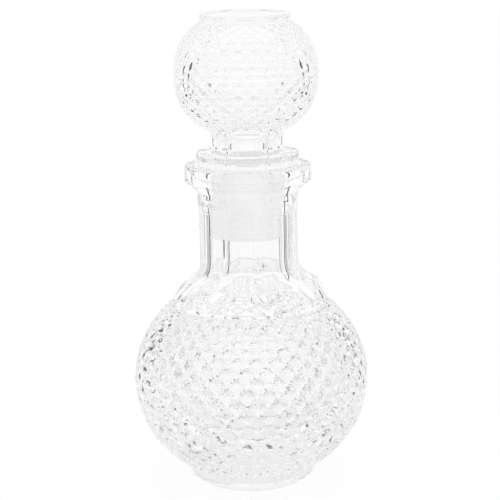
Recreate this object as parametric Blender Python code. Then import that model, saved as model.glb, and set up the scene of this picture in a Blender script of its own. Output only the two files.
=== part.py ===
"""Whiskey decanter of clear moulded glass: a round bottle with an eight-sided neck, a hollow ball stopper,
and the ribbed sealing sleeve between them. All sizes are metres, +Z is up, and the origin is the middle of
the foot. Everything is built round the Z axis, on which the stopper turns and lifts."""
import math

import bmesh
import bpy
import numpy as np

# Bottle: foot and bowl
FOOT_BASE_RADIUS = 0.0225
FOOT_TOP_RADIUS = 0.0295
FOOT_HEIGHT = 0.0080
BOWL_RADIUS = 0.0552
BOWL_HALF_HEIGHT = 0.0500
BOWL_WALL = 0.0048
CROWN_WALL = 0.0022
BASE_THICKNESS = 0.0095
BOWL_DIAMONDS_AROUND = 36
BOWL_DIAMOND_RELIEF = 0.0009
BOWL_DIAMOND_HEIGHT_SHARE = 1.0

# Bottle: shoulder, neck and lip
SHOULDER_RADIUS = 0.0369
SHOULDER_HEIGHT = 0.0184
NECK_PANELS = 8
NECK_RIDGE_RADIUS = 0.0238
NECK_HEIGHT = 0.0345
NECK_PANEL_HOLLOW = 0.0004
PANEL_ARCH_HEIGHT = 0.0072
PANEL_ARCH_DROP = 0.0021
LIP_RADIUS = 0.0297
LIP_HEIGHT = 0.0081
LIP_UNDERCUT_HEIGHT = 0.0040
LIP_EDGE = 0.0015
INNER_RIM_RADIUS = 0.0325
BORE_RADIUS = 0.0178
BORE_DEPTH = 0.0445
BORE_EDGE = 0.0008

# Sealing sleeve
SLEEVE_COLLAR_RADIUS = 0.0239
SLEEVE_COLLAR_THICKNESS = 0.0017
SLEEVE_LENGTH = 0.0341
SLEEVE_WALL = 0.0009
SLEEVE_RIBS = 5
SLEEVE_RIB_RELIEF = 0.0006
SLEEVE_RIB_HEIGHT = 0.0014
SLEEVE_TIP_TAPER = 0.0006

# Stopper
FLANGE_RADIUS = 0.0239
FLANGE_THICKNESS = 0.0038
FLANGE_EDGE = 0.0012
SHANK_LENGTH = 0.0340
SHANK_WALL = 0.0071
SHANK_TIP_EDGE = 0.0010
WAIST_RADIUS = 0.0165
WAIST_TOP_RADIUS = 0.0180
WAIST_HEIGHT = 0.0098
FUNNEL_TOP_RADIUS = 0.0130
BALL_RADIUS = 0.0338
BALL_HALF_HEIGHT = 0.0296
BALL_WALL = 0.0042
BALL_TOP_GLASS = 0.0045
BALL_DIAMONDS_AROUND = 28
BALL_DIAMOND_RELIEF = 0.0007
BALL_DIAMOND_HEIGHT_SHARE = 0.82
DISC_RADIUS = 0.0213
DISC_SEAT_RADIUS = 0.0205
DISC_THICKNESS = 0.0030
DISC_EDGE = 0.0006

# Fits: the sleeve in the bore, the shank in the sleeve, and face to face seats
SLIDING_GAP = 0.0003
SEAT_GAP = 0.0003

# The ridges of the neck stand this far round from the front
RIDGE_TURN = math.radians(12.8)

# How full the outlines are: 2 is an ellipse, and more is squarer
BOWL_FULLNESS = 2.0
BALL_FULLNESS = 2.25

# Shoulder flare, rim to neck: (share of the height, share of the way out, how flat the panels are)
SHOULDER_FLARE_SHARES = (
    (0.05, 1.00, 0.00), (0.24, 0.915, 0.20), (0.40, 0.795, 0.45), (0.50, 0.675, 0.70), (0.60, 0.450, 0.90),
    (0.69, 0.250, 1.00), (0.79, 0.125, 1.00), (1.00, 0.000, 1.00),
)
# Inside of the shoulder, from the bowl's inside up to the bore: (share of the height, share of the way out)
INNER_FLARE_SHARES = ((0.18, 0.85), (0.32, 0.66), (0.42, 0.44), (0.60, 0.15), (0.80, 0.04), (1.00, 0.00))
# Rings of the arch that ends each neck panel, as shares of its height
ARCH_SHARES = (0.00, 0.50, 0.80, 0.95, 1.00)
# Foot's turned side: (share of the height, share of the way out)
FOOT_SHARES = ((0.00, 0.00), (0.22, 0.45), (0.48, 0.86), (0.75, 1.00))
# Waist of the stopper, from the flange up: (share of the height, share of the way to the top radius)
WAIST_SHARES = ((0.00, 0.30), (0.15, 0.00), (0.45, 0.05), (0.75, 0.38), (0.90, 0.72))
# Funnel from the ball's hollow down to the bore: (share of the height, share of the way out)
FUNNEL_SHARES = ((0.80, 0.70), (0.58, 0.38), (0.34, 0.14), (0.00, 0.00))
CAVITY_RINGS = 6

# Corners round each turned surface: two for each diamond outside, half as many inside
RING_SIDES = 2 * BOWL_DIAMONDS_AROUND
BALL_SIDES = 2 * BALL_DIAMONDS_AROUND
SLEEVE_SIDES = 36


def oval_height(radius, half_height, fullness, at_radius):
    """How far from its middle level a turned oval has the radius at_radius."""
    return half_height * (1 - (at_radius / radius) ** fullness) ** (1 / fullness)


# Levels, worked up from the table
BOWL_CENTRE = FOOT_HEIGHT + oval_height(BOWL_RADIUS, BOWL_HALF_HEIGHT, BOWL_FULLNESS, FOOT_TOP_RADIUS)
RIM_LEVEL = BOWL_CENTRE + oval_height(BOWL_RADIUS, BOWL_HALF_HEIGHT, BOWL_FULLNESS, SHOULDER_RADIUS)
NECK_LEVEL = RIM_LEVEL + SHOULDER_HEIGHT
LIP_FOOT_LEVEL = NECK_LEVEL + NECK_HEIGHT
LIP_TOP_LEVEL = LIP_FOOT_LEVEL + LIP_UNDERCUT_HEIGHT + LIP_HEIGHT
COLLAR_LEVEL = LIP_TOP_LEVEL + SEAT_GAP
FLANGE_LEVEL = COLLAR_LEVEL + SLEEVE_COLLAR_THICKNESS + SEAT_GAP
FLANGE_TOP_LEVEL = FLANGE_LEVEL + FLANGE_THICKNESS
WAIST_TOP_LEVEL = FLANGE_TOP_LEVEL + WAIST_HEIGHT
BALL_CENTRE = WAIST_TOP_LEVEL + oval_height(BALL_RADIUS, BALL_HALF_HEIGHT, BALL_FULLNESS, WAIST_TOP_RADIUS)
DISC_LEVEL = BALL_CENTRE + oval_height(BALL_RADIUS, BALL_HALF_HEIGHT, BALL_FULLNESS, DISC_SEAT_RADIUS)
TOP_LEVEL = DISC_LEVEL + DISC_THICKNESS

# Radii that follow from the fits
SLEEVE_RIB_RADIUS = BORE_RADIUS - SLIDING_GAP
SLEEVE_OUTER_RADIUS = SLEEVE_RIB_RADIUS - SLEEVE_RIB_RELIEF
SLEEVE_INNER_RADIUS = SLEEVE_OUTER_RADIUS - SLEEVE_WALL
SHANK_RADIUS = SLEEVE_INNER_RADIUS - SLIDING_GAP
SHANK_BORE_RADIUS = SHANK_RADIUS - SHANK_WALL


def clear_scene():
    """Remove whatever the open file holds, so that only the decanter is in it."""
    for thing in list(bpy.data.objects):
        bpy.data.objects.remove(thing, do_unlink=True)


def material(name, colour, roughness, transmission, ior):
    """A Principled material in the piece's own colour."""
    made = bpy.data.materials.new(name)
    made.use_nodes = True
    shader = made.node_tree.nodes["Principled BSDF"]
    shader.inputs["Base Color"].default_value = (*colour, 1.0)
    shader.inputs["Roughness"].default_value = roughness
    shader.inputs["Metallic"].default_value = 0.0
    shader.inputs["Transmission Weight"].default_value = transmission
    shader.inputs["IOR"].default_value = ior
    made.diffuse_color = (*colour, 1.0)
    return made


def ring(radii, level, sides):
    """One closed ring of corners; radii is one radius, or one for each corner."""
    turn = RIDGE_TURN - math.pi / 2 + np.arange(sides) * 2 * math.pi / sides
    radii = np.broadcast_to(radii, sides)
    return np.column_stack((radii * np.cos(turn), radii * np.sin(turn), np.full(sides, level)))


def panel_ring(ridge_radius, flatness, level):
    """A ring of the neck: round when flatness is 0, eight hollowed flats between ridges when it is 1."""
    half_panel = math.pi / NECK_PANELS
    turn = np.arange(RING_SIDES) * 2 * math.pi / RING_SIDES
    off_middle = np.mod(turn, 2 * half_panel) - half_panel
    flat = ridge_radius * math.cos(half_panel) / np.cos(off_middle)
    hollow = NECK_PANEL_HOLLOW * (1 - (off_middle / half_panel) ** 2)
    return ring(ridge_radius + flatness * (flat - hollow - ridge_radius), level, RING_SIDES)


def arch_ring(share, level):
    """A ring where the panels end under the lip; each flat narrows upwards like a round arch."""
    half_panel = math.pi / NECK_PANELS
    turn = np.arange(RING_SIDES) * 2 * math.pi / RING_SIDES
    off_middle = np.mod(turn, 2 * half_panel) - half_panel
    half_width = NECK_RIDGE_RADIUS * math.sin(half_panel) * math.sqrt(1 - share ** 2)
    flat_distance = math.sqrt(NECK_RIDGE_RADIUS ** 2 - half_width ** 2)
    return ring(np.minimum(NECK_RIDGE_RADIUS, flat_distance / np.cos(off_middle)), level, RING_SIDES)


def oval(radius, half_height, fullness, angle):
    """Distances from the axis and heights above the middle of a turned oval, an angle from its upper pole."""
    across, up = np.sin(angle), np.cos(angle)
    return radius * across ** (2 / fullness), half_height * np.sign(up) * np.abs(up) ** (2 / fullness)


def diamond_rings(size, centre, start_radius, end_radius, around, relief, height_share):
    """Rings of a diamond field on an oval, from the lower start_radius to the upper end_radius; size is the
    oval's radius, half height and fullness. The rows are spaced with the radius, so that every diamond keeps
    its shape, and every second corner is raised."""
    radius, half_height, fullness = size
    fine_steps = 2000
    low = math.pi - math.asin((start_radius / radius) ** (fullness / 2))
    high = math.asin((end_radius / radius) ** (fullness / 2))
    tilt = np.linspace(low, high, fine_steps)
    across, up = oval(radius, half_height, fullness, tilt)
    run = np.hypot(np.diff(across), np.diff(up)) * 2 / (across[1:] + across[:-1])
    climb = np.concatenate(([0], np.cumsum(run)))
    rows = max(2, round(climb[-1] / (math.pi / around * height_share)))
    rings = []
    for row in range(rows + 1):
        angle = np.interp(climb[-1] * row / rows, climb, tilt)
        sunk = relief * (1 - (np.arange(2 * around) + row) % 2 * (0 < row < rows))
        out, level = oval(radius - sunk, half_height - sunk, fullness, angle)
        body = ring(out, 0, 2 * around)
        body[:, 2] = centre + level
        rings.append(body)
    return rings


def ellipse_rings(radius, half_height, centre, start_angle, end_angle, steps, sides):
    """Plain rings along an ellipse; the angles are from the upper pole."""
    angles = np.linspace(start_angle, end_angle, steps)
    return [ring(radius * math.sin(a), centre + half_height * math.cos(a), sides) for a in angles]


def join_alike(mesh, lower, upper):
    """Skin between two rings of as many corners. Each cell is cut between its two corners nearer the axis, so
    that the cut runs along the valleys of the diamonds."""
    sides = len(lower)
    for side in range(sides):
        after = (side + 1) % sides
        a, b, c, d = lower[side], lower[after], upper[after], upper[side]
        if a.co.xy.length + c.co.xy.length <= b.co.xy.length + d.co.xy.length:
            mesh.faces.new((a, b, c))
            mesh.faces.new((a, c, d))
        else:
            mesh.faces.new((a, b, d))
            mesh.faces.new((b, c, d))


def join_halved(mesh, lower, upper):
    """Skin between a ring and one of half as many corners, whichever comes first."""
    fine, coarse = (lower, upper) if len(lower) > len(upper) else (upper, lower)
    flip = fine is upper
    for side, corner in enumerate(coarse):
        after = coarse[(side + 1) % len(coarse)]
        start, middle, end = (fine[(2 * side + step) % len(fine)] for step in range(3))
        for face in ((start, middle, corner), (middle, after, corner), (middle, end, after)):
            mesh.faces.new(face[::-1] if flip else face)


def join_rings(name, rings, shader, start_pole=None, end_pole=None, closed=False):
    """Skin a list of rings into one closed body; its ends close on a pole, or on each other."""
    mesh = bmesh.new()
    loops = [[mesh.verts.new(corner) for corner in body] for body in rings]
    pairs = list(zip(loops, loops[1:]))
    if closed:
        pairs.append((loops[-1], loops[0]))
    for lower, upper in pairs:
        if len(lower) == len(upper):
            join_alike(mesh, lower, upper)
        else:
            join_halved(mesh, lower, upper)
    for pole, loop, outward in ((start_pole, loops[0], False), (end_pole, loops[-1], True)):
        if pole is None:
            continue
        tip = mesh.verts.new((0, 0, pole))
        for side, corner in enumerate(loop):
            after = loop[(side + 1) % len(loop)]
            mesh.faces.new((corner, after, tip) if outward else (after, corner, tip))
    data = bpy.data.meshes.new(name)
    mesh.to_mesh(data)
    mesh.free()
    data.materials.append(shader)
    data.shade_smooth()
    data.set_sharp_from_angle(angle=math.radians(35))
    made = bpy.data.objects.new(name, data)
    bpy.context.collection.objects.link(made)
    return made


def foot_rings():
    """The foot's flat base edge and its turned side, up to where the diamonds start."""
    reach = FOOT_TOP_RADIUS - FOOT_BASE_RADIUS
    return [ring(FOOT_BASE_RADIUS + reach * out, FOOT_HEIGHT * up, RING_SIDES) for up, out in FOOT_SHARES]


def shoulder_rings():
    """The flare from the bowl's rim up to the neck, where the eight panels appear."""
    reach = SHOULDER_RADIUS - NECK_RIDGE_RADIUS
    return [panel_ring(NECK_RIDGE_RADIUS + reach * out, flat, RIM_LEVEL + SHOULDER_HEIGHT * up)
            for up, out, flat in SHOULDER_FLARE_SHARES]


def neck_and_lip_rings():
    """The panelled neck, the arches that end the panels, and the lip with its eased edges."""
    arch_top = LIP_FOOT_LEVEL - PANEL_ARCH_DROP
    arch_foot = arch_top - PANEL_ARCH_HEIGHT
    rings = [panel_ring(NECK_RIDGE_RADIUS, 1, arch_foot - NECK_PANEL_HOLLOW)]
    rings += [arch_ring(share, arch_foot + PANEL_ARCH_HEIGHT * share) for share in ARCH_SHARES]
    lip_foot = LIP_FOOT_LEVEL + LIP_UNDERCUT_HEIGHT
    turned = (
        (NECK_RIDGE_RADIUS, LIP_FOOT_LEVEL),
        (LIP_RADIUS - LIP_EDGE, lip_foot),
        (LIP_RADIUS, lip_foot + LIP_EDGE),
        (LIP_RADIUS, LIP_TOP_LEVEL - LIP_EDGE),
        (LIP_RADIUS - LIP_EDGE, LIP_TOP_LEVEL),
        (BORE_RADIUS + BORE_EDGE, LIP_TOP_LEVEL),
    )
    return rings + [ring(radius, level, RING_SIDES) for radius, level in turned]


def bowl_inside_rings():
    """The inside from the bore down: a smooth flare, then the bowl with its thick base."""
    inner_radius = BOWL_RADIUS - BOWL_DIAMOND_RELIEF - BOWL_WALL
    upper_half = BOWL_HALF_HEIGHT - CROWN_WALL
    lower_half = BOWL_CENTRE - BASE_THICKNESS
    start_angle = math.asin(INNER_RIM_RADIUS / inner_radius)
    flare_foot = BOWL_CENTRE + upper_half * math.cos(start_angle)
    flare_height = LIP_TOP_LEVEL - BORE_DEPTH - flare_foot
    flare_reach = INNER_RIM_RADIUS - BORE_RADIUS
    sides = RING_SIDES // 2
    rings = [ring(BORE_RADIUS, LIP_TOP_LEVEL - BORE_EDGE, sides)]
    rings += [ring(BORE_RADIUS + flare_reach * out, flare_foot + flare_height * up, sides)
              for up, out in reversed(INNER_FLARE_SHARES)]
    middle = math.pi / 2
    pole_gap = middle / CAVITY_RINGS
    rings += ellipse_rings(inner_radius, upper_half, BOWL_CENTRE, start_angle, middle, CAVITY_RINGS, sides)
    rings += ellipse_rings(inner_radius, lower_half, BOWL_CENTRE, middle + pole_gap, math.pi - pole_gap,
                           CAVITY_RINGS, sides)
    return rings


def build_bottle(shader):
    """The bottle: foot, diamond bowl, flared shoulder, panelled neck and lip round one open inside."""
    rings = foot_rings()
    rings += diamond_rings((BOWL_RADIUS, BOWL_HALF_HEIGHT, BOWL_FULLNESS), BOWL_CENTRE, FOOT_TOP_RADIUS,
                           SHOULDER_RADIUS, BOWL_DIAMONDS_AROUND, BOWL_DIAMOND_RELIEF,
                           BOWL_DIAMOND_HEIGHT_SHARE)
    rings += shoulder_rings() + neck_and_lip_rings() + bowl_inside_rings()
    return join_rings("bottle", rings, shader, start_pole=0, end_pole=BASE_THICKNESS)


def build_sleeve(shader):
    """The ribbed sealing sleeve: a thin tube in the bore, with a flat collar on the lip."""
    foot = COLLAR_LEVEL - SLEEVE_LENGTH
    collar_top = COLLAR_LEVEL + SLEEVE_COLLAR_THICKNESS
    outline = [(SLEEVE_INNER_RADIUS, foot), (SLEEVE_OUTER_RADIUS - SLEEVE_TIP_TAPER, foot),
               (SLEEVE_OUTER_RADIUS, foot + 2 * SLEEVE_TIP_TAPER)]
    rib_pitch = (SLEEVE_LENGTH - 2 * SLEEVE_TIP_TAPER) / (SLEEVE_RIBS + 0.5)
    for rib in range(SLEEVE_RIBS):
        middle = foot + 2 * SLEEVE_TIP_TAPER + rib_pitch * (rib + 0.5)
        outline += [(SLEEVE_OUTER_RADIUS, middle - SLEEVE_RIB_HEIGHT / 2), (SLEEVE_RIB_RADIUS, middle),
                    (SLEEVE_OUTER_RADIUS, middle + SLEEVE_RIB_HEIGHT / 2)]
    outline += [(SLEEVE_OUTER_RADIUS, COLLAR_LEVEL), (SLEEVE_COLLAR_RADIUS, COLLAR_LEVEL),
                (SLEEVE_COLLAR_RADIUS, collar_top), (SLEEVE_INNER_RADIUS, collar_top)]
    rings = [ring(radius, level, SLEEVE_SIDES) for radius, level in outline]
    return join_rings("seal_sleeve", rings, shader, closed=True)


def stopper_outside_rings():
    """From the shank's tip up: shank, flange, waist, diamond ball and top disc."""
    tip = FLANGE_LEVEL - SHANK_LENGTH
    turned = [
        (SHANK_BORE_RADIUS + SHANK_TIP_EDGE, tip),
        (SHANK_RADIUS - SHANK_TIP_EDGE, tip),
        (SHANK_RADIUS, tip + SHANK_TIP_EDGE),
        (SHANK_RADIUS, FLANGE_LEVEL),
        (FLANGE_RADIUS - FLANGE_EDGE, FLANGE_LEVEL),
        (FLANGE_RADIUS, FLANGE_LEVEL + FLANGE_EDGE),
        (FLANGE_RADIUS, FLANGE_TOP_LEVEL - FLANGE_EDGE),
        (FLANGE_RADIUS - FLANGE_EDGE, FLANGE_TOP_LEVEL),
    ]
    waist_reach = WAIST_TOP_RADIUS - WAIST_RADIUS
    turned += [(WAIST_RADIUS + waist_reach * out, FLANGE_TOP_LEVEL + WAIST_HEIGHT * up)
               for up, out in WAIST_SHARES]
    rings = [ring(radius, level, BALL_SIDES) for radius, level in turned]
    rings += diamond_rings((BALL_RADIUS, BALL_HALF_HEIGHT, BALL_FULLNESS), BALL_CENTRE, WAIST_TOP_RADIUS,
                           DISC_SEAT_RADIUS, BALL_DIAMONDS_AROUND, BALL_DIAMOND_RELIEF,
                           BALL_DIAMOND_HEIGHT_SHARE)
    disc = ((DISC_RADIUS, DISC_LEVEL + DISC_EDGE), (DISC_RADIUS, TOP_LEVEL - DISC_EDGE),
            (DISC_RADIUS - DISC_EDGE, TOP_LEVEL))
    return rings + [ring(radius, level, BALL_SIDES) for radius, level in disc]


def build_stopper(shader):
    """The hollow stopper, one piece of glass, open at the tip of its shank. Its inside is worked up from the
    cavity's crown down to the tip, so that the skin starts and ends on the axis."""
    cavity_radius = BALL_RADIUS - BALL_DIAMOND_RELIEF - BALL_WALL
    upper_half = TOP_LEVEL - BALL_TOP_GLASS - BALL_CENTRE
    lower_half = BALL_HALF_HEIGHT - BALL_WALL
    middle = math.pi / 2
    pole_gap = middle / CAVITY_RINGS
    funnel_angle = math.pi - math.asin(FUNNEL_TOP_RADIUS / cavity_radius)
    sides = BALL_SIDES // 2
    inside = ellipse_rings(cavity_radius, upper_half, BALL_CENTRE, pole_gap, middle, CAVITY_RINGS, sides)
    lower = ellipse_rings(cavity_radius, lower_half, BALL_CENTRE, middle, funnel_angle, CAVITY_RINGS, sides)
    inside += lower[1:]
    funnel_height = BALL_CENTRE + lower_half * math.cos(funnel_angle) - FLANGE_TOP_LEVEL
    funnel_reach = FUNNEL_TOP_RADIUS - SHANK_BORE_RADIUS
    inside += [ring(SHANK_BORE_RADIUS + funnel_reach * out, FLANGE_TOP_LEVEL + funnel_height * up, sides)
               for up, out in FUNNEL_SHARES]
    inside.append(ring(SHANK_BORE_RADIUS, FLANGE_LEVEL - SHANK_LENGTH + SHANK_TIP_EDGE, sides))
    rings = inside + stopper_outside_rings()
    return join_rings("stopper", rings, shader, start_pole=BALL_CENTRE + upper_half, end_pole=TOP_LEVEL)


def main():
    clear_scene()
    glass = material("bottle_glass", (0.93, 0.95, 0.95), 0.02, 1.0, 1.5)
    stopper_glass = material("stopper_glass", (0.93, 0.95, 0.95), 0.02, 1.0, 1.5)
    plastic = material("sleeve_plastic", (0.90, 0.91, 0.90), 0.45, 0.6, 1.5)
    bottle = build_bottle(glass)
    sleeve = build_sleeve(plastic)
    stopper = build_stopper(stopper_glass)
    sleeve.parent = bottle
    stopper.parent = sleeve


main()
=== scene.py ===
"""Dresses the decanter's plain frame: a diamond-moulded glass bottle, a ribbed sealing sleeve, a hollow ball
stopper and a bright studio. Sizes are metres, +Z is up, and -Y is the side that the photograph shows."""
import math

import bpy
import numpy as np
from bpy.props import FloatProperty, FloatVectorProperty, IntProperty, PointerProperty
from mathutils import Matrix, Vector


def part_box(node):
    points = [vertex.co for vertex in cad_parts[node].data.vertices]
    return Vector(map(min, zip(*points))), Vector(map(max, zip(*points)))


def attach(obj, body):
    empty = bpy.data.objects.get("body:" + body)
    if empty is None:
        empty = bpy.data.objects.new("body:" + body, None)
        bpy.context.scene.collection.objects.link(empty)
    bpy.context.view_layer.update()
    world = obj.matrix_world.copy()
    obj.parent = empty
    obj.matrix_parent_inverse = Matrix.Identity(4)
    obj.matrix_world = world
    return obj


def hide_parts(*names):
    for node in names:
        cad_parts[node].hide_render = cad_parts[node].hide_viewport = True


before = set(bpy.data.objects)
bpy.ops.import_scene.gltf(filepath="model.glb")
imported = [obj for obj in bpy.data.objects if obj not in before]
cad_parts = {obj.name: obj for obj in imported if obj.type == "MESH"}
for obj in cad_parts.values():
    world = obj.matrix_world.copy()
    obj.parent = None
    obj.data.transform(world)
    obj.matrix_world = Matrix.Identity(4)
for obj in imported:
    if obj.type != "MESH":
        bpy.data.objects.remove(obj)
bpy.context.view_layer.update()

bl_info = {
    "name": "Moulded Glass Decanter",
    "version": (1, 0, 0),
    "blender": (4, 5, 0),
    "location": "3D View > Sidebar > Decanter",
    "description": "Builds a round glass decanter with its sealing sleeve, ball stopper and studio",
    "category": "Add Mesh",
}

# Side of the foot: (share of the height, share of the way out)
FOOT_SHARES = (
    (0.00, 0.00), (0.10, 0.24), (0.22, 0.45), (0.35, 0.68), (0.48, 0.86), (0.60, 0.95), (0.75, 1.00),
)
# Rings of the flat face under the foot, as shares of its radius
FACE_SHARES = (0.5, 0.97)
# Flare of the shoulder, rim to neck: (share of the height, share of the way out, how flat the panels are)
FLARE_SHARES = (
    (0.05, 1.00, 0.00), (0.14, 0.965, 0.06), (0.24, 0.915, 0.20), (0.32, 0.86, 0.32), (0.40, 0.795, 0.45),
    (0.50, 0.675, 0.70), (0.60, 0.450, 0.90), (0.69, 0.250, 1.00), (0.79, 0.125, 1.00), (0.90, 0.03, 1.00),
    (1.00, 0.000, 1.00),
)
# Rings of the bore under the mouth, as shares of its depth
BORE_SHARES = (0.3, 0.6)
# Inside of the shoulder, from the bore down to the bowl's inside: (share of the height, share of the way out)
INNER_FLARE_SHARES = (
    (1.00, 0.00), (0.86, 0.02), (0.72, 0.07), (0.60, 0.15), (0.50, 0.28), (0.42, 0.44), (0.32, 0.66),
    (0.18, 0.85), (0.00, 1.00),
)
# Waist of the stopper, from the flange up: (share of the height, share of the way to the top radius)
WAIST_SHARES = (
    (0.00, 0.50), (0.05, 0.22), (0.15, 0.00), (0.45, 0.05), (0.75, 0.38), (0.90, 0.72), (0.98, 0.93),
)
# Funnel from the ball's hollow down to the bore: (share of the height, share of the way out)
FUNNEL_SHARES = ((1.00, 1.00), (0.80, 0.70), (0.58, 0.38), (0.34, 0.14), (0.00, 0.00))

# Fullness of an oval that is a plain ellipse
ELLIPSE = 2.0
# Where the first ridge of the neck stands, counted from the front
RIDGE_TURN = math.radians(12.8)
# Corners of the mesh along each side of a diamond
CORNERS_PER_DIAMOND = 10
# Outline of a diamond's own cushion: 2 is round, and more comes closer to the corners of its cell
CUSHION_CORNER = 2.5
# At a zone's two ends the relief grows from nothing to its whole height over one row divided by this
RELIEF_RISE = 4
# Points at which an oval's length is summed up
LENGTH_POINTS = 4000
# Corners round the sleeve
SLEEVE_CORNERS = 180
# Edges that turn by more than this stay hard
SMOOTH_CREASE = math.radians(14)

# Rings along each smooth part of the outlines
EDGE_RINGS = 6
FOOT_RINGS = 12
FLARE_RINGS = 28
NECK_RINGS = 4
ARCH_RINGS = 14
INNER_FLARE_RINGS = 24
BOWL_CROWN_RINGS = 18
BOWL_BASE_RINGS = 26
SLEEVE_EDGE_RINGS = 4
RIB_RINGS = 7
BALL_CROWN_RINGS = 22
BALL_BASE_RINGS = 20
FUNNEL_RINGS = 16
WAIST_RINGS = 16
DISC_EDGE_RINGS = 5

# Width and height by which an inner corner is cut off
CORNER_CUT = 0.0004
# Heights left free for the bend between the flare and the neck, and between the neck and the arches
NECK_FOOT_GAP = 0.002
NECK_TOP_GAP = 0.0006
# Where the cone under the lip ends, inwards and downwards from the lip's lower edge
CONE_END = (0.0006, 0.0003)
# Angle from the axis at which the rings of an inside end, before a pole closes it
POLE_GAP = 0.06
# Rise of the top disc's seat and of its side over the disc's foot
DISC_SEAT_RISE = 0.0003
DISC_SIDE_RISE = 0.0005
# Degrees from straight out at which the disc's lower edge begins
DISC_EDGE_START = -70

# Detail of the ripples in the clear glass
RIPPLE_DETAIL = 2.0
# Frosted plastic: its bending of light, and the scale and detail of its clouds
PLASTIC_IOR = 1.3
CLOUD_SCALE = 180.0
CLOUD_DETAIL = 4.0
# The clouds' own values between which the roughness changes, and that roughness
CLOUD_ENDS = (0.3, 0.7)
CLOUD_ROUGHNESS = (0.42, 0.55)
# Strength and depth of the plastic's fine grain
GRAIN_STRENGTH = 0.4
GRAIN_DEPTH = 0.0001

# The floor's own grey and the light added to it, which make a white that can still take a shadow
PAPER_TONE = 0.35
PAPER_LIFT = 0.66
# Painted shade and light on the floor as the glass shows it: a painted shadow under the foot, a painted
# bright ring of the light that the bowl would throw, a grey band and a darker ring further out, and white far
# away: (metres from the middle of the foot, tone)
PAINTED_FLOOR_TONES = (
    (0.00, 0.84), (0.030, 0.84), (0.045, 1.00), (0.12, 1.00), (0.22, 0.93), (0.29, 0.93), (0.31, 0.75),
    (0.36, 0.75), (0.38, 0.95), (0.90, 1.00),
)
# Where a painted light spot of the bowl's light on the floor begins to darken into painted shade and where it
# has ended, in dapple pitches from its middle
DAPPLE_EDGE = (0.55, 0.72)
# Metres from the middle of the foot over which the painted light spots set in
DAPPLE_START = (0.030, 0.040)
# Share of the dapple reach from which the painted light spots die away
DAPPLE_FADE = 0.8
# Brightness of the light tent as the glass shows it: (sine of the height above level, tone)
TENT_TONES = (
    (0.00, 1.00), (0.130, 1.00), (0.135, 0.35), (0.150, 0.35), (0.155, 1.00), (0.200, 1.00), (0.205, 0.35),
    (0.220, 0.35), (0.225, 1.00),
)
# The dark flags on the right: (degrees round from straight behind the decanter, height in metres)
FLAGS = ((37, 0.12), (51, 0.10), (64, 0.35), (116, 0.35), (129, 0.10), (143, 0.12))
# How often light may pass through or meet glass on its way, and how often it may meet a matt surface
GLASS_BOUNCES = 48
MATT_BOUNCES = 8
# Width of the camera's frame in millimetres, and its nearest clear distance in metres
FRAME_WIDTH = 36.0
NEAREST = 0.01


def length(name, default, description):
    """A size in metres."""
    return FloatProperty(name=name, description=description, default=default, min=0.0, precision=5,
                         unit="LENGTH")


def share(name, default, description, highest=1.0):
    """A plain number, such as a share or a strength."""
    return FloatProperty(name=name, description=description, default=default, min=0.0, max=highest)


def turn(name, default, description):
    """An angle, given in degrees and kept in radians."""
    return FloatProperty(name=name, description=description, default=math.radians(default), subtype="ANGLE")


def count(name, default, description):
    """A whole number of repeats."""
    return IntProperty(name=name, description=description, default=default, min=1)


class BottleShape(bpy.types.PropertyGroup):
    """Sizes of the bottle."""
    lip_level: length("Lip level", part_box("bottle")[1][2], "Height of the top of the lip")
    foot_base_radius: length("Foot base radius", 0.0225, "Radius of the flat face that it stands on")
    foot_top_radius: length("Foot top radius", 0.0295, "Radius where the foot meets the bowl")
    foot_height: length("Foot height", 0.0080, "Height of the foot")
    bowl_radius: length("Bowl radius", 0.0552, "Radius over the diamonds of the bowl")
    bowl_half_height: length("Bowl half height", 0.0500, "Half the height of the bowl's whole oval")
    bowl_wall: length("Bowl wall", 0.0046, "Glass between the valleys and the inside")
    crown_wall: length("Crown wall", 0.0022, "Upright thickness of the glass over the bowl's inside")
    inner_rim_radius: length("Inner rim radius", 0.0325, "Radius where the inside turns into the shoulder")
    base_thickness: length("Base thickness", 0.0095, "Glass under the inside")
    diamonds: count("Diamonds around", 36, "Diamonds in each row of the bowl")
    relief: length("Diamond relief", 0.0011, "How far each diamond stands out of its valleys")
    squareness: share("Diamond squareness", 3.0, "2 is a plain dome, and more is flatter on top", 9.0)
    shoulder_radius: length("Shoulder radius", 0.0369, "Radius of the rim where the diamonds end")
    shoulder_height: length("Shoulder height", 0.0184, "Height of the flare from the rim to the neck")
    panels: count("Neck panels", 8, "Flats round the neck")
    ridge_radius: length("Ridge radius", 0.0238, "Radius over the ridges between the panels")
    ridge_ease: turn("Ridge ease", 1.6, "How widely each ridge is rounded")
    panel_hollow: length("Panel hollow", 0.0004, "How far each panel dips in its middle")
    arch_height: length("Arch height", 0.0072, "Height of the arch that ends each panel")
    arch_drop: length("Arch drop", 0.0021, "Distance from the arches to the underside of the lip")
    lip_radius: length("Lip radius", 0.0297, "Radius of the lip")
    lip_height: length("Lip height", 0.0081, "Height of the lip's upright side")
    lip_undercut: length("Lip undercut", 0.0040, "Height of the cone under the lip")
    lip_edge: length("Lip edge", 0.0015, "Radius of the lip's eased edges")
    bore_radius: length("Bore radius", 0.0178, "Radius of the straight bore")
    bore_depth: length("Bore depth", 0.0445, "Depth of the straight bore")
    bore_edge: length("Bore edge", 0.0010, "Radius of the mouth's eased edge")


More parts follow.
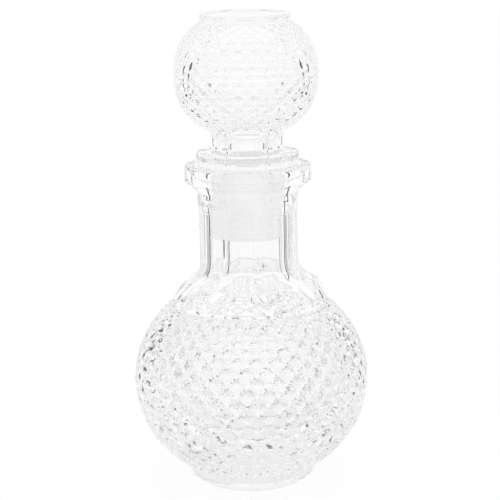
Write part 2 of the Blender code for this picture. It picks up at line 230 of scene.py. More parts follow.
class SleeveShape(bpy.types.PropertyGroup):
    """Sizes of the sealing sleeve."""
    foot_level: length("Foot level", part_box("seal_sleeve")[0][2], "Height of the sleeve's lower end")
    top_level: length("Top level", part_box("seal_sleeve")[1][2], "Height of the collar's upper face")
    collar_radius: length("Collar radius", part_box("seal_sleeve")[1][0], "Radius of the collar on the lip")
    collar_thickness: length("Collar thickness", 0.0017, "Thickness of the collar")
    collar_edge: length("Collar edge", 0.0004, "Radius of the collar's eased edges")
    outer_radius: length("Outer radius", 0.0169, "Radius of the tube between its ribs")
    inner_radius: length("Inner radius", 0.0160, "Radius of the hole that takes the shank")
    ribs: count("Ribs", 5, "Sealing ribs along the tube")
    rib_relief: length("Rib relief", 0.0006, "How far a rib stands out of the tube")
    rib_height: length("Rib height", 0.0016, "Height of one rib")
    tip_taper: length("Tip taper", 0.0006, "How far the lower end is drawn in")


class StopperShape(bpy.types.PropertyGroup):
    """Sizes of the ball stopper."""
    tip_level: length("Tip level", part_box("stopper")[0][2], "Height of the shank's open end")
    top_level: length("Top level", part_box("stopper")[1][2], "Height of the top disc's face")
    shank_length: length("Shank length", 0.0340, "Length of the shank under the flange")
    shank_radius: length("Shank radius", 0.0157, "Radius of the shank")
    shank_edge: length("Shank edge", 0.0010, "Radius of the eased edges of the shank's end")
    shank_bore: length("Shank bore", 0.0086, "Radius of the hole through the shank")
    flange_radius: length("Flange radius", 0.0239, "Radius of the flange on the collar")
    flange_thickness: length("Flange thickness", 0.0038, "Thickness of the flange")
    flange_edge: length("Flange edge", 0.0012, "Radius of the flange's eased edges")
    waist_radius: length("Waist radius", 0.0165, "Smallest radius between the flange and the ball")
    waist_top_radius: length("Waist top radius", 0.0180, "Radius where the waist meets the ball")
    waist_height: length("Waist height", 0.0098, "Height of the waist")
    funnel_radius: length("Funnel radius", 0.0130, "Radius where the ball's hollow turns into the funnel")
    ball_radius: length("Ball radius", 0.0338, "Radius over the diamonds of the ball")
    ball_half_height: length("Ball half height", 0.0296, "Half the height of the ball's whole oval")
    ball_fullness: FloatProperty(name="Ball fullness", description="2 is an ellipse, and more is squarer",
                                 default=2.25, min=1.5, max=4.0)
    ball_wall: length("Ball wall", 0.0042, "Glass between the valleys and the hollow")
    crown_glass: length("Crown glass", 0.0045, "Glass over the hollow at the top")
    diamonds: count("Diamonds around", 28, "Diamonds in each row of the ball")
    diamond_height: share("Diamond height", 0.82, "Height of a diamond as a share of its width", 2.0)
    relief: length("Diamond relief", 0.0007, "How far each diamond stands out of its valleys")
    squareness: share("Diamond squareness", 2.0, "2 is a plain dome, and more is flatter on top", 9.0)
    disc_radius: length("Disc radius", 0.0213, "Radius of the plain disc on the top")
    disc_seat_radius: length("Disc seat radius", 0.0205, "Radius where the disc meets the ball")
    disc_thickness: length("Disc thickness", 0.0030, "Thickness of the disc")
    disc_edge: length("Disc edge", 0.0007, "Radius of the disc's eased edges")
    disc_groove: length("Disc groove", 0.0004, "Depth of the mould's line round the disc's side")
    disc_hollow: length("Disc hollow", 0.0005, "How far the middle of the disc's face is sunk")
    disc_rim: length("Disc rim", 0.0030, "Width of the rim round the sunk face")


class GlassFinish(bpy.types.PropertyGroup):
    """Look of the clear glass and of the frosted sleeve."""
    ior: FloatProperty(name="Glass bending", description="Index of refraction of the glass", default=1.5,
                       min=1.0, max=2.5)
    ripple_depth: length("Ripple depth", 0.00006, "Depth of the mould's soft ripples in the glass")
    ripple_pitch: length("Ripple pitch", 0.0090, "Distance between the mould's ripples")
    sleeve_colour: FloatVectorProperty(name="Sleeve colour", description="Colour of the frosted plastic",
                                       default=(0.995, 0.995, 0.995), min=0.0, max=1.0, subtype="COLOR")
    sleeve_clearness: share("Sleeve clearness", 0.02, "How much light the frosted plastic lets through")


class StudioSetup(bpy.types.PropertyGroup):
    """The floor, the surroundings and the camera."""
    floor_reach: length("Floor reach", 3.0, "Distance from the decanter to the edge of the floor")
    # The dapple: painted light spots of the bowl's light on the floor, with painted shade between them, seen
    # only in the glass
    dapple_pitch: length("Dapple pitch", 0.010, "Size of the light spots that the bowl throws on the floor")
    dapple_tone: share("Dapple tone", 0.20, "Brightness between the light spots")
    dapple_reach: length("Dapple reach", 0.12, "Distance from the foot at which the light spots end")
    flag_width: turn("Flag width", 6.5, "Angle that a flag takes up, seen from the decanter")
    flag_distance: length("Flag distance", 0.25, "Distance from the decanter to the flags")
    flag_tone: share("Flag tone", 0.05, "Brightness of a flag")
    camera_place: FloatVectorProperty(name="Camera place", description="Where the camera stands",
                                      default=(0.0, -0.973, 0.31825), subtype="TRANSLATION", unit="LENGTH")
    camera_aim: FloatVectorProperty(name="Camera aim", description="The point in the middle of the picture",
                                    default=(0.00041, 0.0, 0.111147), subtype="TRANSLATION", unit="LENGTH")
    camera_roll: turn("Camera roll", -1.02, "Turn of the camera about its own line of sight")
    camera_lens: FloatProperty(name="Camera lens", description="Focal length in millimetres", default=152.55)


def flowing(points, rings):
    """A smooth outline through points: between two of them it is the cubic that leaves and arrives along the
    mean slope there. It is read at equal steps of the length between the points."""
    points = np.array(points, float)
    along = np.concatenate(([0], np.cumsum(np.hypot(*np.diff(points, axis=0).T))))
    slope = np.gradient(points, along, axis=0)
    wanted = np.linspace(0, along[-1], rings)
    first = np.clip(np.searchsorted(along, wanted, side="right") - 1, 0, len(along) - 2)
    gap = (along[first + 1] - along[first])[:, None]
    part = (wanted - along[first])[:, None] / gap
    leaving = (part ** 3 - 2 * part ** 2 + part) * gap * slope[first]
    arriving = (part ** 3 - part ** 2) * gap * slope[first + 1]
    start = (2 * part ** 3 - 3 * part ** 2 + 1) * points[first] + leaving
    end = (3 * part ** 2 - 2 * part ** 3) * points[first + 1] + arriving
    return start + end


def from_shares(shares, radius, reach, foot, height):
    """Points of an outline: radius plus a share of the reach, and foot plus a share of the height."""
    return [(radius + reach * out, foot + height * up) for up, out in shares]


def eased(centre_radius, centre_height, edge, start, end, rings=EDGE_RINGS):
    """A rounded edge of an outline: a circle of radius edge about a centre, between two angles in degrees,
    which count upwards from straight out."""
    angle = np.radians(np.linspace(start, end, rings))
    return np.column_stack((centre_radius + edge * np.cos(angle), centre_height + edge * np.sin(angle)))


def oval_height(radius, half_height, fullness, at_radius):
    """Distance from an oval's middle up to where it has at_radius: |r / radius|^fullness plus
    |z / half height|^fullness is 1."""
    return half_height * (1 - (at_radius / radius) ** fullness) ** (1 / fullness)


def oval(radius, half_height, fullness, angle):
    """Radius and height on a turned oval: radius times sin^(2 / fullness), and half height times
    cos^(2 / fullness)."""
    across, up = np.sin(angle), np.cos(angle)
    power = 2 / fullness
    return radius * across ** power, half_height * np.sign(up) * np.abs(up) ** power


def hollow(radius, half_height, centre, angle):
    """Outline of an oval hollow: radius times the angle's sine, and half height times its cosine."""
    return np.column_stack((radius * np.sin(angle), centre + half_height * np.cos(angle)))


def turned(outline, corners):
    """A zone of a turned surface: every (radius, height) of the outline goes once round the Z axis. A zone is
    its radii, its heights and, for each cell, whether it is cut along the other diagonal."""
    outline = np.asarray(outline, float)
    radii = np.repeat(outline[:, :1], corners, axis=1)
    heights = np.repeat(outline[:, 1:], corners, axis=1)
    return radii, heights, np.zeros((len(outline) - 1, corners), bool)


def diamond_zone(size, centre, start_radius, end_radius, shape, height_share=1.0):
    """A zone of raised diamonds on an oval. Round the axis the first number u counts diamonds, and up the
    oval the second number v grows by length over radius, so that a diamond keeps its shape. With a and b the
    parts after the point of u + v and u - v, the glass stands relief times (1 - q^p) out of the valleys, with
    p the squareness and q^n = |2a - 1|^n + |2b - 1|^n up to 1, which rounds the corners of each cushion. The
    valleys run where a or b is zero, and the cells are cut along them."""
    radius, half_height, fullness = size
    low = math.pi - math.asin((start_radius / radius) ** (fullness / 2))
    high = math.asin((end_radius / radius) ** (fullness / 2))
    tilt = np.linspace(low, high, LENGTH_POINTS)
    across, up = oval(radius, half_height, fullness, tilt)
    run = np.hypot(np.diff(across), np.diff(up)) * 2 / (across[1:] + across[:-1])
    climb = np.concatenate(([0], np.cumsum(run)))
    half_rows = max(2, round(climb[-1] / (math.pi / shape.diamonds * height_share)))
    rows = half_rows * CORNERS_PER_DIAMOND // 2
    columns = shape.diamonds * CORNERS_PER_DIAMOND
    row, column = np.meshgrid(np.arange(rows + 1), np.arange(columns), indexing="ij")
    v, u = row / CORNERS_PER_DIAMOND, column / CORNERS_PER_DIAMOND
    off_a, off_b = np.abs(2 * np.mod(u + v, 1) - 1), np.abs(2 * np.mod(u - v, 1) - 1)
    off_peak = (off_a ** CUSHION_CORNER + off_b ** CUSHION_CORNER) ** (1 / CUSHION_CORNER)
    fade = np.clip(np.minimum(v, v[-1, 0] - v) * RELIEF_RISE, 0, 1)
    fade = fade * fade * (3 - 2 * fade)
    sunk = shape.relief * (1 - (1 - np.minimum(off_peak, 1) ** shape.squareness) * fade)
    angle = np.interp(row * climb[-1] / rows, climb, tilt)
    radii, heights = oval(radius - sunk, half_height - sunk, fullness, angle)
    return radii, centre + heights, np.mod(column - row, CORNERS_PER_DIAMOND)[:-1] != 0


def off_panel_middle(panels, corners):
    """Angle of every corner from the middle of its panel, and half a panel's angle."""
    half_panel = math.pi / panels
    angle = np.arange(corners) * 2 * math.pi / corners
    return np.mod(angle, 2 * half_panel) - half_panel, half_panel


def panel_zone(outline, flatness, shape, corners):
    """A zone that is round where flatness is 0 and has flats between eased ridges where it is 1. A flat lies
    at ridge radius times cos(half panel) / cos(angle off its middle), less a shallow dip."""
    off, half_panel = off_panel_middle(shape.panels, corners)
    from_ridge = np.hypot(half_panel - np.abs(off), shape.ridge_ease)
    flat = math.cos(half_panel) / np.cos(half_panel - from_ridge)
    dip = shape.panel_hollow * (1 - (off / half_panel) ** 2)
    radii, heights, cut = turned(outline, corners)
    radii = radii * (1 + flatness[:, None] * (flat - 1)) - flatness[:, None] * dip
    return radii, heights, cut


def arch_zone(foot, shape, corners):
    """The zone where the panels end: at a share s of the arch's height a flat is the square root of
    (1 - s * s) as wide as a whole one, and beside it the neck is round."""
    off, half_panel = off_panel_middle(shape.panels, corners)
    up = np.sin(np.linspace(0, math.pi / 2, ARCH_RINGS))[:, None]
    half_width = shape.ridge_radius * math.sin(half_panel) * np.sqrt(1 - up ** 2)
    flat = np.sqrt(shape.ridge_radius ** 2 - half_width ** 2) / np.cos(off)
    radii = np.minimum(shape.ridge_radius, flat)
    return radii, foot + shape.arch_height * up + 0 * off, np.zeros((ARCH_RINGS - 1, corners), bool)


def skin(zones, start_pole=None, end_pole=None):
    """Corners and triangles of a body built up from zones of rings, one after the other along its outline.
    Each ring joins the next, and a pole closes an end on the axis. Without poles the last ring joins the
    first."""
    radii = np.concatenate([zone[0] for zone in zones])
    heights = np.concatenate([zone[1] for zone in zones])
    between = np.zeros((1, radii.shape[1]), bool)
    cut = np.concatenate([piece for zone in zones for piece in (zone[2], between)])
    rows, columns = radii.shape
    angle = RIDGE_TURN - math.pi / 2 + np.arange(columns) * 2 * math.pi / columns
    corners = np.stack((radii * np.cos(angle), radii * np.sin(angle), heights), -1).reshape(-1, 3)
    closed = start_pole is None and end_pole is None
    row, column = np.meshgrid(np.arange(rows if closed else rows - 1), np.arange(columns), indexing="ij")
    above, beside = (row + 1) % rows, (column + 1) % columns
    a, b = row * columns + column, row * columns + beside
    c, d = above * columns + beside, above * columns + column
    cut = cut[:len(row), :, None]
    triangles = [np.where(cut, np.stack((a, b, d), -1), np.stack((a, b, c), -1)).reshape(-1, 3),
                 np.where(cut, np.stack((b, c, d), -1), np.stack((a, c, d), -1)).reshape(-1, 3)]
    for pole, ring, outward in ((start_pole, 0, False), (end_pole, rows - 1, True)):
        if pole is not None:
            edge = np.arange(columns) + ring * columns
            after = np.roll(edge, -1)
            tip = np.full(columns, len(corners))
            corners = np.concatenate((corners, [[0, 0, pole]]))
            triangles.append(np.stack((edge, after, tip) if outward else (after, edge, tip), -1))
    return corners, np.concatenate(triangles)


def new_piece(name, corners, triangles, finish):
    """A mesh object of these triangles, smooth but for its hard edges."""
    mesh = bpy.data.meshes.new(name)
    mesh.vertices.add(len(corners))
    mesh.vertices.foreach_set("co", corners.astype(np.float32).ravel())
    mesh.loops.add(triangles.size)
    mesh.loops.foreach_set("vertex_index", triangles.astype(np.int32).ravel())
    mesh.polygons.add(len(triangles))
    mesh.polygons.foreach_set("loop_start", np.arange(0, triangles.size, 3, dtype=np.int32))
    mesh.update(calc_edges=True)
    if mesh.validate():
        raise RuntimeError(f"{name} has faces that its mesh can't keep")
    mesh.shade_smooth()
    mesh.set_sharp_from_angle(angle=SMOOTH_CREASE)
    return placed(name, mesh, finish)


def placed(name, mesh, finish):
    """An object of this mesh and finish, in the scene."""
    mesh.materials.append(finish)
    piece = bpy.data.objects.new(name, mesh)
    bpy.context.scene.collection.objects.link(piece)
    return piece


def feed(tree, socket, value):
    """Sets an input to a number, or joins it to another node's output."""
    if isinstance(value, bpy.types.NodeSocket):
        tree.links.new(value, socket)
    else:
        socket.default_value = value


def joined(tree, kind, **inputs):
    """A new node of a tree, with its named inputs set to numbers or joined to other nodes' outputs."""
    node = tree.nodes.new(kind)
    for name, value in inputs.items():
        feed(tree, node.inputs[name], value)
    return node


def worked_out(tree, operation, *values):
    """The output of a Math node on numbers or other outputs."""
    node = tree.nodes.new("ShaderNodeMath")
    node.operation = operation
    for socket, value in zip(node.inputs, values):
        feed(tree, socket, value)
    return node.outputs[0]


def ramped(tree, value, start, end, low, high):
    """Low up to start, high from end on, and a smooth step between them."""
    node = joined(tree, "ShaderNodeMapRange", Value=value)
    node.interpolation_type = "SMOOTHSTEP"
    for socket, number in zip(node.inputs[1:5], (start, end, low, high)):
        socket.default_value = number
    return node.outputs[0]


def toned(tree, value, stops):
    """A grey that follows a value through stops of (value, tone)."""
    ramp = joined(tree, "ShaderNodeValToRGB", Fac=value)
    shades = ramp.color_ramp.elements
    for stop, (place, tone) in enumerate(stops):
        shade = shades[stop] if stop < 2 else shades.new(place)
        shade.position, shade.color = place, (tone, tone, tone, 1.0)
    return ramp.outputs["Color"]


def new_finish(name):
    """A material with one Principled shader, its node tree and that shader."""
    made = bpy.data.materials.new(name)
    made.use_nodes = True
    return made, made.node_tree, made.node_tree.nodes["Principled BSDF"]


def bare_tree(owner):
    """The emptied node tree of a new material or world."""
    owner.use_nodes = True
    owner.node_tree.nodes.clear()
    return owner.node_tree


def clear_glass(name, look):
    """Clear moulded glass, with the mould's soft ripples in its surface."""
    made, tree, shader = new_finish(name)
    shader.inputs["Base Color"].default_value = (1.0, 1.0, 1.0, 1.0)
    shader.inputs["Roughness"].default_value = 0.0
    shader.inputs["IOR"].default_value = look.ior
    shader.inputs["Transmission Weight"].default_value = 1.0
    place = joined(tree, "ShaderNodeTexCoord").outputs["Object"]
    ripple = joined(tree, "ShaderNodeTexNoise", Vector=place, Scale=1 / look.ripple_pitch,
                    Detail=RIPPLE_DETAIL)
    bump = joined(tree, "ShaderNodeBump", Height=ripple.outputs[0], Strength=1.0, Distance=look.ripple_depth)
    tree.links.new(bump.outputs[0], shader.inputs["Normal"])
    return made


def frosted_plastic(name, look):
    """Translucent soft plastic, with fine cloudy places that are rougher than the rest."""
    made, tree, shader = new_finish(name)
    shader.inputs["Base Color"].default_value = (*look.sleeve_colour, 1.0)
    shader.inputs["IOR"].default_value = PLASTIC_IOR
    shader.inputs["Transmission Weight"].default_value = look.sleeve_clearness
    place = joined(tree, "ShaderNodeTexCoord").outputs["Object"]
    clouds = joined(tree, "ShaderNodeTexNoise", Vector=place, Scale=CLOUD_SCALE, Detail=CLOUD_DETAIL)
    cloud = clouds.outputs[0]
    tree.links.new(ramped(tree, cloud, *CLOUD_ENDS, *CLOUD_ROUGHNESS), shader.inputs["Roughness"])
    grain = joined(tree, "ShaderNodeBump", Height=cloud, Strength=GRAIN_STRENGTH, Distance=GRAIN_DEPTH)
    tree.links.new(grain.outputs[0], shader.inputs["Normal"])
    return made


def finished(piece, body, node):
    """Sets a piece on the body of the plain node that it stands for."""
    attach(piece, body)
    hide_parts(node)


class DECANTER_OT_bottle(bpy.types.Operator):
    """Builds the bottle: foot, diamond bowl, flared shoulder, panelled neck and lip round one open inside"""
    bl_idname = "decanter.bottle"
    bl_label = "Build the bottle"

    def execute(self, context):
        shape = context.scene.decanter_bottle
        corners = shape.diamonds * CORNERS_PER_DIAMOND
        size = (shape.bowl_radius, shape.bowl_half_height, ELLIPSE)
        centre = shape.foot_height + oval_height(*size, shape.foot_top_radius)
        rim = centre + oval_height(*size, shape.shoulder_radius)
        lip_foot = shape.lip_level - shape.lip_height
        arch_foot = lip_foot - shape.lip_undercut - shape.arch_drop - shape.arch_height
        zones = [
            self.foot(shape, corners),
            diamond_zone(size, centre, shape.foot_top_radius, shape.shoulder_radius, shape),
            self.shoulder(shape, rim, corners),
            self.neck(shape, rim + shape.shoulder_height, arch_foot, corners),
            arch_zone(arch_foot, shape, corners),
            self.lip(shape, lip_foot, corners),
            self.inside(shape, centre, corners),
        ]
        mesh = skin(zones, 0.0, shape.base_thickness)
        finish = clear_glass("bottle_clear_glass", context.scene.decanter_finish)
        finished(new_piece("moulded_bottle", *mesh, finish), "bottle", "bottle")
        return {"FINISHED"}

    @staticmethod
    def foot(shape, corners):
        """The flat face that it stands on, and the foot's turned side."""
        reach = shape.foot_top_radius - shape.foot_base_radius
        side = from_shares(FOOT_SHARES, shape.foot_base_radius, reach, 0.0, shape.foot_height)
        face = [(shape.foot_base_radius * part, 0.0) for part in FACE_SHARES]
        return turned(np.concatenate((face, flowing(side, FOOT_RINGS))), corners)

    @staticmethod
    def shoulder(shape, rim, corners):
        """The flare from the bowl's rim to the neck, on which the panels appear."""
        table = np.array(FLARE_SHARES)
        line = flowing(table[:, :2], FLARE_RINGS)
        radii = shape.ridge_radius + (shape.shoulder_radius - shape.ridge_radius) * line[:, 1]
        heights = rim + shape.shoulder_height * line[:, 0]
        flatness = np.interp(line[:, 0], table[:, 0], table[:, 2])
        return panel_zone(np.column_stack((radii, heights)), flatness, shape, corners)

    @staticmethod
    def neck(shape, foot, arch_foot, corners):
        """The straight neck, whose panels are wholly flat."""
        heights = np.linspace(foot + NECK_FOOT_GAP, arch_foot - NECK_TOP_GAP, NECK_RINGS)
        outline = np.column_stack((np.full(NECK_RINGS, shape.ridge_radius), heights))
        return panel_zone(outline, np.ones(NECK_RINGS), shape, corners)

    @staticmethod
    def lip(shape, lip_foot, corners):
        """The cone under the lip, its upright side with eased edges, and the mouth's eased edge."""
        side, edge, mouth = shape.lip_radius - shape.lip_edge, shape.lip_edge, shape.bore_edge
        neck_top = lip_foot - shape.lip_undercut
        cone = [(shape.ridge_radius, neck_top - CORNER_CUT), (shape.ridge_radius + CORNER_CUT, neck_top),
                (side - CONE_END[0], lip_foot - CONE_END[1])]
        return turned(np.concatenate((
            cone, eased(side, lip_foot + edge, edge, -90, 0),
            eased(side, shape.lip_level - edge, edge, 0, 90),
            eased(shape.bore_radius + mouth, shape.lip_level - mouth, mouth, 90, 180),
        )), corners)

    @staticmethod
    def inside(shape, centre, corners):
        """The straight bore, the inner flare, and the bowl's inside with its thick base."""
        radius = shape.bowl_radius - shape.relief - shape.bowl_wall
        upper = shape.bowl_half_height - shape.crown_wall
        lower = centre - shape.base_thickness
        start = math.asin(shape.inner_rim_radius / radius)
        bore_foot = shape.lip_level - shape.bore_depth
        flare_foot = centre + upper * math.cos(start)
        reach = shape.inner_rim_radius - shape.bore_radius
        bore = [(shape.bore_radius, shape.lip_level - shape.bore_depth * part) for part in BORE_SHARES]
        flare = from_shares(INNER_FLARE_SHARES, shape.bore_radius, reach, flare_foot, bore_foot - flare_foot)
        above = np.linspace(start, math.pi / 2, BOWL_CROWN_RINGS)[1:]
        below = np.linspace(math.pi / 2, math.pi - POLE_GAP, BOWL_BASE_RINGS)[1:]
        return turned(np.concatenate((
            bore, flowing(flare, INNER_FLARE_RINGS),
            hollow(radius, upper, centre, above), hollow(radius, lower, centre, below),
        )), corners)


class DECANTER_OT_sleeve(bpy.types.Operator):
    """Builds the sealing sleeve: a thin ribbed tube in the bore, with a flat collar on the lip"""
    bl_idname = "decanter.sleeve"
    bl_label = "Build the sealing sleeve"

    def execute(self, context):
        shape = context.scene.decanter_sleeve
        under_collar = shape.top_level - shape.collar_thickness
        tube_foot = shape.foot_level + 2 * shape.tip_taper
        rim, edge = shape.collar_radius - shape.collar_edge, shape.collar_edge
        outline = np.concatenate((
            [(shape.inner_radius, shape.foot_level), (shape.outer_radius - shape.tip_taper, shape.foot_level),
             (shape.outer_radius, tube_foot)],
            *self.ribs(shape, tube_foot, under_collar), [(shape.outer_radius, under_collar)],
            eased(rim, under_collar + edge, edge, -90, 0, SLEEVE_EDGE_RINGS),
            eased(rim, shape.top_level - edge, edge, 0, 90, SLEEVE_EDGE_RINGS),
            [(shape.inner_radius, shape.top_level)],
        ))
        mesh = skin([turned(outline, SLEEVE_CORNERS)])
        finish = frosted_plastic("sleeve_frosted_plastic", context.scene.decanter_finish)
        finished(new_piece("ribbed_sleeve", *mesh, finish), "sleeve", "seal_sleeve")
        return {"FINISHED"}

    @staticmethod
    def ribs(shape, tube_foot, under_collar):
        """The ribs' outlines, evenly spaced: with t from -1 to 1 over a rib's height, it stands rib relief
        times the square root of (1 - t * t) out of the tube."""
        pitch = (under_collar - tube_foot) / (shape.ribs + 0.5)
        across = np.linspace(-1, 1, RIB_RINGS)
        bulge = shape.outer_radius + shape.rib_relief * np.sqrt(1 - across ** 2)
        return [np.column_stack((bulge, tube_foot + pitch * (rib + 0.5) + shape.rib_height / 2 * across))
                for rib in range(shape.ribs)]


class DECANTER_OT_stopper(bpy.types.Operator):
    """Builds the hollow ball stopper: shank, flange, waist, diamond ball and top disc, open at the tip"""
    bl_idname = "decanter.stopper"
    bl_label = "Build the ball stopper"

    def execute(self, context):
        shape = context.scene.decanter_stopper
        corners = shape.diamonds * CORNERS_PER_DIAMOND
        size = (shape.ball_radius, shape.ball_half_height, shape.ball_fullness)
        flange_top = shape.tip_level + shape.shank_length + shape.flange_thickness
        centre = flange_top + shape.waist_height + oval_height(*size, shape.waist_top_radius)
        zones = [
            self.inside(shape, centre, flange_top, corners),
            self.shank_to_waist(shape, flange_top, corners),
            diamond_zone(size, centre, shape.waist_top_radius, shape.disc_seat_radius, shape,
                         shape.diamond_height),
            self.disc(shape, corners),
        ]
        mesh = skin(zones, shape.top_level - shape.crown_glass, shape.top_level - shape.disc_hollow)
        finish = clear_glass("stopper_clear_glass", context.scene.decanter_finish)
        finished(new_piece("ball_stopper", *mesh, finish), "stopper", "stopper")
        return {"FINISHED"}

    @staticmethod
    def inside(shape, centre, flange_top, corners):
        """From the crown of the hollow down through the funnel and the straight bore."""
        radius = shape.ball_radius - shape.relief - shape.ball_wall
        upper = shape.top_level - shape.crown_glass - centre
        lower = shape.ball_half_height - shape.ball_wall
        mouth = math.pi - math.asin(shape.funnel_radius / radius)
        above = np.linspace(POLE_GAP, math.pi / 2, BALL_CROWN_RINGS)
        below = np.linspace(math.pi / 2, mouth, BALL_BASE_RINGS)[1:-1]
        rise = centre + lower * math.cos(mouth) - flange_top
        reach = shape.funnel_radius - shape.shank_bore
        funnel = from_shares(FUNNEL_SHARES, shape.shank_bore, reach, flange_top, rise)
        edge = shape.shank_edge
        return turned(np.concatenate((
            hollow(radius, upper, centre, above), hollow(radius, lower, centre, below),
            flowing(funnel, FUNNEL_RINGS),
            eased(shape.shank_bore + edge, shape.tip_level + edge, edge, 180, 270),
        )), corners)

    @staticmethod
    def shank_to_waist(shape, flange_top, corners):
        """The shank, the flange with its eased edges, and the waist."""
        flange = flange_top - shape.flange_thickness
        shank, shank_edge = shape.shank_radius - shape.shank_edge, shape.shank_edge
        side, edge = shape.flange_radius - shape.flange_edge, shape.flange_edge
        reach = shape.waist_top_radius - shape.waist_radius
        waist = from_shares(WAIST_SHARES, shape.waist_radius, reach, flange_top, shape.waist_height)
        return turned(np.concatenate((
            eased(shank, shape.tip_level + shank_edge, shank_edge, -90, 0),
            [(shape.shank_radius, flange - CORNER_CUT), (shape.shank_radius + CORNER_CUT, flange)],
            eased(side, flange + edge, edge, -90, 0), eased(side, flange_top - edge, edge, 0, 90),
            flowing(waist, WAIST_RINGS),
        )), corners)

    @staticmethod
    def disc(shape, corners):
        """The plain disc on top of the ball: eased edges, a fine groove round its side and a sunk face."""
        foot = shape.top_level - shape.disc_thickness
        side_foot, face = foot + DISC_SIDE_RISE, shape.top_level - shape.disc_hollow
        side, edge = shape.disc_radius - shape.disc_edge, shape.disc_edge
        return turned(np.concatenate((
            [(shape.disc_seat_radius, foot + DISC_SEAT_RISE)],
            eased(side, side_foot + edge, edge, DISC_EDGE_START, 0, DISC_EDGE_RINGS),
            [(shape.disc_radius - shape.disc_groove, (side_foot + shape.top_level) / 2)],
            eased(side, shape.top_level - edge, edge, 0, 90),
            eased(shape.disc_radius - shape.disc_rim, face, shape.disc_hollow, 90, 180),
            [(shape.disc_radius / 2, face)],
        )), corners)


class DECANTER_OT_studio(bpy.types.Operator):
    """Sets out the white floor, the light tent with its dark flags, and the camera"""
    bl_idname = "decanter.studio"
    bl_label = "Set out the studio"

    def execute(self, context):
        scene = context.scene
        studio = scene.decanter_studio
        self.floor(studio)
        self.flags(studio)
        self.tent(scene)
        self.camera(scene, studio)
        scene.view_settings.view_transform = "Standard"
        for bounces in ("max_bounces", "transmission_bounces", "glossy_bounces"):
            setattr(scene.cycles, bounces, GLASS_BOUNCES)
        scene.cycles.diffuse_bounces = MATT_BOUNCES
        scene.cycles.blur_glossy = 0.0
        return {"FINISHED"}

    @staticmethod
    def seen_in_glass(tree):
        """1 for what is seen through or in the glass, and 0 otherwise."""
        path = joined(tree, "ShaderNodeLightPath").outputs
        return worked_out(tree, "MAXIMUM", path["Is Glossy Ray"], path["Is Transmission Ray"])

    def floor(self, studio):
        """A white floor that keeps the decanter's shadow. In the glass it shows painted tones by distance
        from the foot: a painted shadow under the foot, a painted bright ring round it and darker rings
        further out, and near the foot painted light spots of the bowl's light with painted shade between
        them."""
        made = bpy.data.materials.new("floor_white")
        tree = bare_tree(made)
        place = joined(tree, "ShaderNodeTexCoord").outputs["Object"]
        distance = joined(tree, "ShaderNodeVectorMath", Vector=place)
        distance.operation = "LENGTH"
        away = distance.outputs["Value"]
        # Painted light spots that the bowl would throw near the foot, and painted shade between them
        spots = joined(tree, "ShaderNodeTexVoronoi", Vector=place, Scale=1 / studio.dapple_pitch)
        between = ramped(tree, spots.outputs["Distance"], *DAPPLE_EDGE, 0.0, 1.0 - studio.dapple_tone)
        outside = ramped(tree, away, *DAPPLE_START, 0.0, 1.0)
        within = ramped(tree, away, studio.dapple_reach * DAPPLE_FADE, studio.dapple_reach, 1.0, 0.0)
        near = worked_out(tree, "MULTIPLY", outside, within)
        level = worked_out(tree, "SUBTRACT", 1.0, worked_out(tree, "MULTIPLY", between, near))
        # Painted shadow under the foot and painted light round it, seen only in the glass
        painted_floor_tone = joined(tree, "ShaderNodeEmission", Color=toned(tree, away, PAINTED_FLOOR_TONES), Strength=level)
        paper = joined(tree, "ShaderNodeBsdfDiffuse", Color=(PAPER_TONE, PAPER_TONE, PAPER_TONE, 1.0))
        lift = joined(tree, "ShaderNodeEmission", Strength=PAPER_LIFT)
        white = joined(tree, "ShaderNodeAddShader")
        tree.links.new(paper.outputs[0], white.inputs[0])
        tree.links.new(lift.outputs[0], white.inputs[1])
        both = joined(tree, "ShaderNodeMixShader", Fac=self.seen_in_glass(tree))
        tree.links.new(white.outputs[0], both.inputs[1])
        tree.links.new(painted_floor_tone.outputs[0], both.inputs[2])
        joined(tree, "ShaderNodeOutputMaterial", Surface=both.outputs[0])
        reach = studio.floor_reach
        mesh = bpy.data.meshes.new("floor")
        mesh.from_pydata([(-reach, -reach, 0), (reach, -reach, 0), (reach, reach, 0), (-reach, reach, 0)], [],
                         [(0, 1, 2, 3)])
        floor = placed("floor", mesh, made)

    @staticmethod
    def flags(studio):
        """Narrow dark cards that stand in a circle round the decanter, alike on the left and right, as a
        photographer sets them to draw the edges of clear glass. Only the glass shows them."""
        right = np.array(FLAGS)
        middle = np.radians(np.concatenate((right[:, 0], -right[:, 0])))
        sides = np.stack((middle - studio.flag_width / 2, middle + studio.flag_width / 2), -1).ravel()
        ring = np.column_stack((np.sin(sides), np.cos(sides))) * studio.flag_distance
        tops = np.tile(right[:, 1], 2).repeat(2)
        corners = np.concatenate([np.column_stack((ring, level)) for level in (0 * tops, tops)])
        left = np.arange(0, len(ring), 2)
        faces = np.stack((left, left + 1, left + 1 + len(ring), left + len(ring)), -1)
        mesh = bpy.data.meshes.new("flags")
        mesh.from_pydata(corners.tolist(), [], faces.tolist())
        made = bpy.data.materials.new("flag_card")
        tree = bare_tree(made)
        card = joined(tree, "ShaderNodeEmission", Strength=studio.flag_tone)
        joined(tree, "ShaderNodeOutputMaterial", Surface=card.outputs[0])
        flags = placed("flags", mesh, made)
        for path in ("visible_camera", "visible_diffuse", "visible_shadow"):
            setattr(flags, path, False)

    def tent(self, scene):
        """White all round. The glass shows it with two thin grey bands a little above level, alike on all
        sides."""
        world = bpy.data.worlds.new("light_tent")
        scene.world = world
        tree = bare_tree(world)
        way = joined(tree, "ShaderNodeTexCoord").outputs["Generated"]
        height = joined(tree, "ShaderNodeSeparateXYZ", Vector=way).outputs["Z"]
        shade = worked_out(tree, "SUBTRACT", toned(tree, height, TENT_TONES), 1.0)
        level = worked_out(tree, "MULTIPLY_ADD", shade, self.seen_in_glass(tree), 1.0)
        light = joined(tree, "ShaderNodeBackground", Color=(1.0, 1.0, 1.0, 1.0), Strength=level)
        joined(tree, "ShaderNodeOutputWorld", Surface=light.outputs[0])

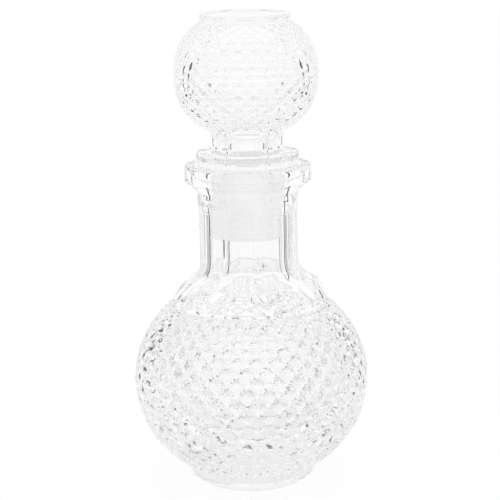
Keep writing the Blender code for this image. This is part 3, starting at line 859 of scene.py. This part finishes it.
    @staticmethod
    def camera(scene, studio):
        """The camera at the photograph's own place and angle."""
        data = bpy.data.cameras.new("photo_camera")
        data.lens = studio.camera_lens
        data.sensor_width = FRAME_WIDTH
        data.clip_start = NEAREST
        camera = bpy.data.objects.new("photo_camera", data)
        scene.collection.objects.link(camera)
        camera.location = studio.camera_place
        sight = Vector(studio.camera_aim) - Vector(studio.camera_place)
        facing = sight.to_track_quat("-Z", "Y").to_matrix() @ Matrix.Rotation(studio.camera_roll, 3, "Z")
        camera.rotation_euler = facing.to_euler()
        scene.camera = camera


class DECANTER_PT_sidebar(bpy.types.Panel):
    """The decanter's sizes and buttons in the 3D view's sidebar"""
    bl_idname = "DECANTER_PT_sidebar"
    bl_label = "Decanter"
    bl_space_type = "VIEW_3D"
    bl_region_type = "UI"
    bl_category = "Decanter"

    def draw(self, context):
        for name, _, operator in SETTINGS:
            box = self.layout.box()
            settings = getattr(context.scene, name)
            for setting in settings.__annotations__:
                box.prop(settings, setting)
            if operator:
                box.operator(operator)


# Each group of settings: its name on the scene, its class, and the operator that uses it
SETTINGS = (
    ("decanter_finish", GlassFinish, None),
    ("decanter_bottle", BottleShape, "decanter.bottle"),
    ("decanter_sleeve", SleeveShape, "decanter.sleeve"),
    ("decanter_stopper", StopperShape, "decanter.stopper"),
    ("decanter_studio", StudioSetup, "decanter.studio"),
)
CLASSES = (GlassFinish, BottleShape, SleeveShape, StopperShape, StudioSetup, DECANTER_OT_bottle,
           DECANTER_OT_sleeve, DECANTER_OT_stopper, DECANTER_OT_studio, DECANTER_PT_sidebar)


def register():
    for made in CLASSES:
        bpy.utils.register_class(made)
    for name, group, _ in SETTINGS:
        setattr(bpy.types.Scene, name, PointerProperty(type=group))


def unregister():
    for name, _, _ in SETTINGS:
        delattr(bpy.types.Scene, name)
    for made in reversed(CLASSES):
        bpy.utils.unregister_class(made)


def main():
    register()
    bpy.ops.decanter.bottle()
    bpy.ops.decanter.sleeve()
    bpy.ops.decanter.stopper()
    bpy.ops.decanter.studio()


if __name__ == "__main__":
    main()
